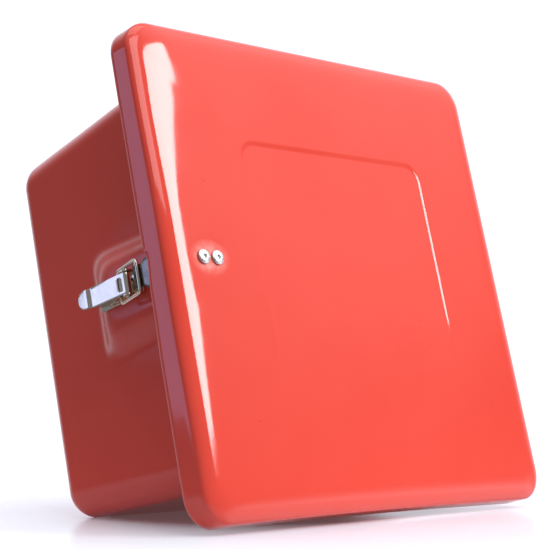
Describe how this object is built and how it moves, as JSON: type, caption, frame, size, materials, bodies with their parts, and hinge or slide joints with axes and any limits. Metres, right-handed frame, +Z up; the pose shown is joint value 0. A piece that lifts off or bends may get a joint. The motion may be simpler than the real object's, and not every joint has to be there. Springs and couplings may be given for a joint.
{
  "type": "lunch box",
  "caption": "Moulded glass-fibre lunch box: tapered square tub, overhanging tray lid on butt hinges, seal, and a draw latch with wire bail and hook.",
  "frame": {"origin": "the middle of the tub's flat base, on the surface the box stands on", "axes": "+Z up through the lid, -Y towards the latch side, +Y towards the hinges, +X to the right seen from the latch side"},
  "size_m": [0.3, 0.3113, 0.1727],
  "materials": {
    "gelcoat_red": "glossy gel coat over glass-fibre laminate",
    "seal_rubber": "matt foam rubber",
    "bright_steel": "bright polished stainless steel",
    "hinge_steel": "brushed stainless steel",
    "plain_steel": "plain drawn steel",
    "rivet_aluminium": "plain, slightly dull"
  },
  "bodies": {
    "tub_body": {"tub": "gelcoat_red", "latch_base": "bright_steel", "latch_base_rivet_1": "rivet_aluminium", "latch_base_rivet_2": "rivet_aluminium", "latch_backing_plate": "plain_steel", "latch_lever_pin": "plain_steel", "left_hinge_tub_leaf": "hinge_steel", "left_hinge_pin": "plain_steel", "left_hinge_tub_rivet_1": "rivet_aluminium", "left_hinge_tub_rivet_2": "rivet_aluminium", "left_hinge_backing_plate": "plain_steel", "right_hinge_tub_leaf": "hinge_steel", "right_hinge_pin": "plain_steel", "right_hinge_tub_rivet_1": "rivet_aluminium", "right_hinge_tub_rivet_2": "rivet_aluminium", "right_hinge_backing_plate": "plain_steel"},
    "lid_body": {"lid": "gelcoat_red", "lid_seal": "seal_rubber", "latch_keeper": "bright_steel", "keeper_rivet_1": "rivet_aluminium", "keeper_rivet_2": "rivet_aluminium", "left_hinge_lid_leaf": "hinge_steel", "left_hinge_lid_rivet_1": "rivet_aluminium", "left_hinge_lid_rivet_2": "rivet_aluminium", "right_hinge_lid_leaf": "hinge_steel", "right_hinge_lid_rivet_1": "rivet_aluminium", "right_hinge_lid_rivet_2": "rivet_aluminium"},
    "lever_body": {"latch_lever": "bright_steel"},
    "bail_body": {"latch_bail": "bright_steel"}
  },
  "joints": [
    {"name": "lid_hinge", "type": "hinge", "parent": "tub_body", "child": "lid_body", "pos_m": [0, 0.1558, 0.1452], "axis": [-1, 0, 0], "range_deg": [0, 180]},
    {"name": "latch_lever_pivot", "type": "hinge", "parent": "tub_body", "child": "lever_body", "pos_m": [0, -0.1462, 0.1252], "axis": [-1, 0, 0], "range_deg": [0, 110]},
    {"name": "latch_bail_pivot", "type": "hinge", "parent": "lever_body", "child": "bail_body", "pos_m": [0, -0.1443, 0.116], "axis": [-1, 0, 0], "range_deg": [-143, 0]}
  ],
  "couplings": [
    {"joint": "latch_bail_pivot", "follows": "latch_lever_pivot", "ratio": -1.3}
  ]
}
